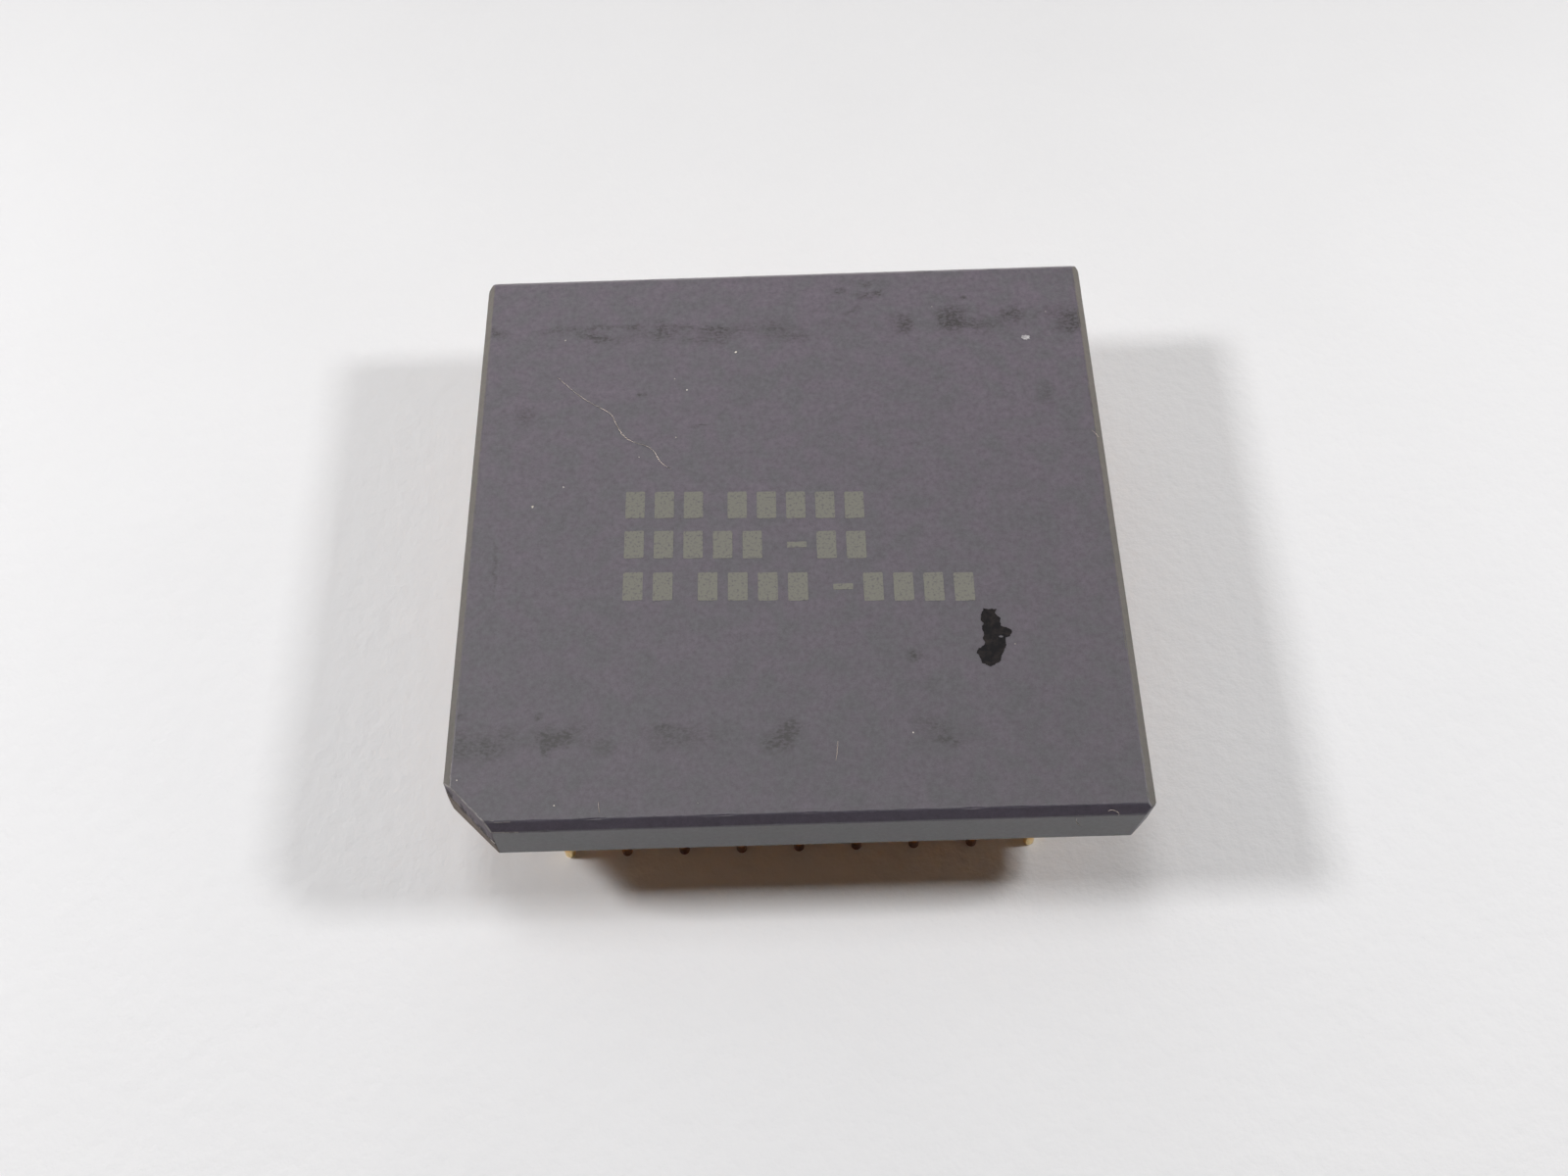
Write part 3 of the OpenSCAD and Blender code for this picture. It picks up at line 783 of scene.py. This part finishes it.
def make_blot(ink):
    """The blot on the top face, with the bare spot near its waist."""
    x, y, half_length, half_width = BLOT_HOLE
    turns = [math.tau * i / HOLE_POINTS for i in range(HOLE_POINTS)]
    hole = [Vector((x + half_length * math.cos(a), y + half_width * math.sin(a))) for a in turns]
    work = bmesh.new()
    edges = []
    for outline in (bumpy(BLOT, BLOT_STEP, BLOT_SHIFT), hole):
        verts = on_face(work, outline)
        edges += [work.edges.new(pair) for pair in zip(verts, verts[1:] + verts[:1])]
    filled = bmesh.ops.triangle_fill(work, edges=edges, use_beauty=True)
    faces = [f for f in filled["geom"] if isinstance(f, bmesh.types.BMFace)]
    new_piece("ink_blot", raised_mesh("ink_blot", work, faces, BLOT_THICKNESS), "alumina", ink)


# Lint: each fibre's radius, and the points that it follows, in mm. Where a point is only x and y, the fibre is
# stuck to the top face
FIBRES = {
    "long_fibre": (0.013, [
        (-10.76, 8.29), (-10.42, 7.93), (-9.74, 7.21), (-9.22, 6.79), (-8.75, 6.48), (-8.32, 6.21),
        (-8.09, 5.95), (-7.79, 5.21), (-7.57, 4.81), (-7.27, 4.52), (-6.91, 4.34), (-6.54, 4.22),
        (-6.27, 4.04), (-6.04, 3.76), (-5.85, 3.29), (-5.58, 3.03), (-5.28, 2.81),
    ]),
    "short_fibre": (0.013, [(13.95, 4.3), (14.1, 4.15), (14.22, 3.9)]),
    "straight_fibre": (0.013, [(1.75, -11.0), (1.72, -11.45), (1.64, -11.88)]),
    "front_fibre": (0.01, [(-8.01, -13.37), (-8.0, -13.58), (-7.97, -13.86)]),
    "bevel_curl": (0.012, [
        (12.46, -14.35, 7.12), (12.55, -14.3, 7.16), (12.75, -14.32, 7.14), (12.95, -14.43, 7.03),
        (12.89, -14.488, 6.96),
    ]),
    "flank_curl": (0.012, [
        (11.29, -14.43, 7.04), (11.22, -14.488, 6.72), (11.27, -14.488, 6.4), (11.36, -14.488, 6.2),
        (11.5, -14.488, 6.02),
    ]),
}
# A fibre's middle is this many radii over the top face, and its ends' radius is this share of its own
FIBRE_LIFT = 0.6
FIBRE_END = 0.35


def make_fibre(name, radius, points, lint):
    """A fibre through these points, made as a thin tube with fine ends."""
    face_z = DRESSED_TOP / MM + FIBRE_LIFT * radius
    curve = bpy.data.curves.new(name, "CURVE")
    curve.dimensions = "3D"
    curve.bevel_depth = radius * MM
    curve.bevel_resolution = 1
    curve.resolution_u = 4
    curve.use_fill_caps = True
    spline = curve.splines.new("NURBS")
    spline.points.add(len(points) - 1)
    for i, (spot, point) in enumerate(zip(spline.points, points)):
        place = (*point, face_z)[:3]
        spot.co = (*(Vector(place) * MM), 1)
        spot.radius = FIBRE_END if i in (0, len(points) - 1) else 1
    spline.order_u = 3
    spline.use_endpoint_u = True
    carrier = bpy.data.objects.new(name, curve)
    mesh = bpy.data.meshes.new_from_object(carrier)
    bpy.data.objects.remove(carrier)
    new_piece(name, mesh, "alumina", lint)


# Dust on the top face: x and y in mm, and the speck's size in mm
DUST = [
    (-11.52, 1.01, 0.16), (-10.5, 10.52, 0.1), (-5.11, 4.61, 0.08), (-5.22, 8.01, 0.07), (-6.8, 3.57, 0.07),
    (-10.18, 2.04, 0.08), (9.43, -6.7, 0.07), (4.87, -10.7, 0.08), (-13.85, -12.26, 0.07),
    (12.56, 11.37, 0.06), (7.14, 11.9, 0.06), (-2.33, 9.48, 0.16), (-4.65, 7.32, 0.1), (-9.8, -13.5, 0.09),
    (-3.99, -13.56, 0.05),
]
# A speck's middle is this share of its size over the face. Its width and height are these shares of its length,
# and its turn is drawn at random from this seed
DUST_LIFT = 1 / 12
DUST_WIDTH, DUST_HEIGHT = 0.7, 0.2
DUST_SEED = 7


def dust_places():
    """A mesh with one point for each speck, and its size as an attribute."""
    mesh = bpy.data.meshes.new("dust_places")
    mesh.from_pydata([(x * MM, y * MM, DRESSED_TOP + size * MM * DUST_LIFT) for x, y, size in DUST], [], [])
    attribute = mesh.attributes.new("speck_size", "FLOAT", "POINT")
    attribute.data.foreach_set("value", [size for x, y, size in DUST])
    return mesh


def dust_tree(dust):
    """Puts a flat crumb on each point, as large as the point's speck_size says, in mm, and turned at random."""
    tree, given = nodes_tree("dust_specks", ["Width", "Height"])
    crumb = add(tree, "GeometryNodeMeshIcoSphere", {"Radius": MM / 2, "Subdivisions": 1})
    shape = add(tree, "ShaderNodeCombineXYZ", {"X": 1.0, "Y": given["Width"], "Z": given["Height"]})
    flat = add(tree, "GeometryNodeTransform", {"Geometry": crumb.outputs[0], "Scale": shape.outputs[0]})
    size = add(tree, "GeometryNodeInputNamedAttribute", {"Name": "speck_size"}, data_type="FLOAT")
    turn = add(tree, "FunctionNodeRandomValue", {
        0: (0, 0, 0), 1: (0.1, 0.1, math.tau), "Seed": DUST_SEED,
    }, data_type="FLOAT_VECTOR")
    placed = add(tree, "GeometryNodeInstanceOnPoints", {
        "Points": given["Geometry"], "Instance": flat.outputs[0], "Rotation": turn.outputs["Value"],
        "Scale": size.outputs["Attribute"],
    })
    real = add(tree, "GeometryNodeRealizeInstances", {0: placed.outputs[0]})
    dusty = add(tree, "GeometryNodeSetMaterial", {"Geometry": real.outputs[0], "Material": dust})
    add(tree, "NodeGroupOutput", {0: dusty.outputs[0]})
    return tree


def make_dust(dust):
    """The specks of dust on the top face."""
    mesh = baked(dust_places(), dust_tree(dust), {"Width": DUST_WIDTH, "Height": DUST_HEIGHT})
    new_piece("dust_specks", mesh, "alumina")


# The flake of white paint, in mm: its outline, its thickness, and the spacing of the points along its edge and
# how far they are moved
PAINT_FLAKE = [
    (11.26, 9.9), (11.33, 9.97), (11.4, 9.92), (11.48, 9.98), (11.56, 9.93), (11.64, 9.95), (11.66, 9.85),
    (11.6, 9.8), (11.65, 9.73), (11.55, 9.74), (11.5, 9.66), (11.42, 9.71), (11.34, 9.68), (11.33, 9.76),
    (11.25, 9.8),
]
FLAKE_THICKNESS = 0.02
FLAKE_STEP, FLAKE_SHIFT = 0.04, 0.02


def make_flake(paint):
    """A flake of white paint on the top face."""
    work = bmesh.new()
    face = work.faces.new(on_face(work, bumpy(PAINT_FLAKE, FLAKE_STEP, FLAKE_SHIFT)))
    new_piece("paint_flake", raised_mesh("paint_flake", work, [face], FLAKE_THICKNESS), "alumina", paint)


def make_camera():
    """The camera, where the photograph was taken from."""
    data = bpy.data.cameras.new("camera")
    data.lens = CAMERA_LENS
    data.sensor_width = PICTURE_WIDTH
    data.clip_start = CAMERA_NEAR * MM
    data.clip_end = CAMERA_FAR * MM
    camera = bpy.data.objects.new("camera", data)
    camera.location = Vector(CAMERA_PLACE) * MM
    camera.rotation_euler = [math.radians(a) for a in CAMERA_TURN]
    bpy.context.scene.collection.objects.link(camera)
    bpy.context.scene.camera = camera


def make_floor():
    """The pale surface that the part stands on."""
    corners = [(x * FLOOR_HALF, y * FLOOR_HALF, 0) for x, y in ((-1, -1), (1, -1), (1, 1), (-1, 1))]
    mesh = bpy.data.meshes.new("floor")
    mesh.from_pydata(corners, [], [(0, 1, 2, 3)])
    mesh.materials.append(pale_paper())
    floor = bpy.data.objects.new("floor", mesh)
    bpy.context.scene.collection.objects.link(floor)


def make_lamp(name, place, width, length, power):
    """A flat lamp that shines on the part, with its length across the line to it."""
    data = bpy.data.lights.new(name, "AREA")
    data.shape = "RECTANGLE"
    data.size = length
    data.size_y = width
    data.energy = power
    lamp = bpy.data.objects.new(name, data)
    lamp.location = place
    lamp.rotation_euler = (-Vector(place)).to_track_quat("-Z", "Y").to_euler()
    lamp.visible_camera = False
    bpy.context.scene.collection.objects.link(lamp)


def make_world():
    """Low pale walls at the sides and the rear, and a dark room in front and above."""
    world = bpy.data.worlds.new("studio")
    world.use_nodes = True
    tree = world.node_tree
    direction = add(tree, "ShaderNodeTexCoord").outputs["Generated"]
    split = add(tree, "ShaderNodeSeparateXYZ", {0: direction}).outputs
    low_wall = add(tree, "ShaderNodeMapRange", {
        "Value": split["Z"], "From Min": 0.2, "From Max": 0.44, "To Min": WALL, "To Max": 0.0,
    }, interpolation_type="SMOOTHSTEP").outputs["Result"]
    not_front = add(tree, "ShaderNodeMapRange", {
        "Value": split["Y"], "From Min": -0.6, "From Max": -0.1,
    }, interpolation_type="SMOOTHSTEP").outputs["Result"]
    brightness = add(tree, "ShaderNodeMath", {
        0: low_wall, 1: not_front, 2: ROOM,
    }, operation="MULTIPLY_ADD").outputs[0]
    # Reflections show the pale background in front too, low down
    light_path = add(tree, "ShaderNodeLightPath").outputs
    mirrored = add(tree, "ShaderNodeMath", {
        0: light_path["Is Glossy Ray"], 1: light_path["Is Transmission Ray"],
    }, operation="MAXIMUM").outputs[0]
    low_front = add(tree, "ShaderNodeMapRange", {
        "Value": split["Z"], "From Min": 0.1, "From Max": 0.3, "To Min": 1.0, "To Max": 0.0,
    }).outputs["Result"]
    in_front = add(tree, "ShaderNodeMath", {0: 1.0, 1: not_front}, operation="SUBTRACT").outputs[0]
    low_front = add(tree, "ShaderNodeMath", {0: low_front, 1: in_front}, operation="MULTIPLY").outputs[0]
    brightness = add(tree, "ShaderNodeMath", {
        0: mirrored, 1: low_front, 2: brightness,
    }, operation="MULTIPLY_ADD").outputs[0]
    lit = tree.nodes["Background"]
    lit.inputs["Color"].default_value = linear("#f8ecdc")
    tree.links.new(brightness, lit.inputs["Strength"])
    # The camera sees an even pale background
    even = add(tree, "ShaderNodeBackground", {"Color": linear(BACKGROUND), "Strength": 1.0}).outputs[0]
    both = add(tree, "ShaderNodeMixShader", {
        0: light_path["Is Camera Ray"], 1: lit.outputs[0], 2: even,
    }).outputs[0]
    tree.links.new(both, tree.nodes["World Output"].inputs["Surface"])
    bpy.context.scene.world = world


make_camera()
make_floor()
for name, values in LAMPS.items():
    make_lamp(name, *values)
make_world()
bpy.context.scene.view_settings.view_transform = "Standard"

alumina_face = fired_alumina("alumina_face", "#5a515d", "#524f56", smudged=True, Roughness=0.55)
# The flanks and bevels are the face's own ceramic, painted darker than the face as painted shade
alumina_flank = fired_alumina("alumina_flank", "#4c4950", "#494b4e", Roughness=0.42)
alumina_bevel = fired_alumina("alumina_bevel", "#4f4855", "#4b4652", Roughness=0.42)
# The side bevels are the same ceramic, given a warmer tone as a painted reflection of the lit floor
side_bevel_painted_tint = fired_alumina("side_bevel_painted_tint", "#4e4844", "#494640", Roughness=0.42)
dress_ceramic(alumina_face, alumina_flank, alumina_bevel, index_alumina(), side_bevel_painted_tint, pale_ridge_alumina())
make_print(marking_ink())
make_blot(spilt_ink())
lint = loose_dirt("lint", "#d2c3b8", "#8f8882", 0.8)
for name, (radius, points) in FIBRES.items():
    make_fibre(name, radius, points, lint)
make_dust(loose_dirt("dust", "#d6d2c8", "#b5afa6", 0.1))
make_flake(loose_dirt("white_paint", "#bdbabd", "#959295", 0.1))

# The finishes of the CAD nodes that show as they are, by their slots in the record
FINISHES = {
    "gold_plating": plated("gold_on_ceramic", "#ffc25e", "#d89a40", 0.38, size=0.6, relief=0.004),
    "pin_plating": plated("gold_on_drawn_wire", "#f5b14d", "#df9a3d", 0.3, size=0.7, lines=(1, 1, 0.1),
                          tips=("#7e5644", "#f5dba0")),
    "braze": plated("gold_on_braze", "#fcc060", "#cc9040", 0.4, size=0.3, relief=0.01),
    "gold_tin_solder": plated("gold_tin_solder", "#d9bd85", "#b99c66", 0.22, size=0.8, relief=0.01),
    "lid_plating": plated("gold_on_rolled_lid", "#efbf66", "#e2b05a", 0.27, size=3, lines=(0.05, 1, 1),
                          relief=0.001),
    "silicon": polished_silicon(),
    "aluminium_wire": bond_aluminium(),
}
slots = {part["node"]: part["material_slot"] for part in frame["record"]["subparts"]}
for name, node in frame["nodes"].items():
    if slots[name] in FINISHES:
        node.material_slots[0].material = FINISHES[slots[name]]
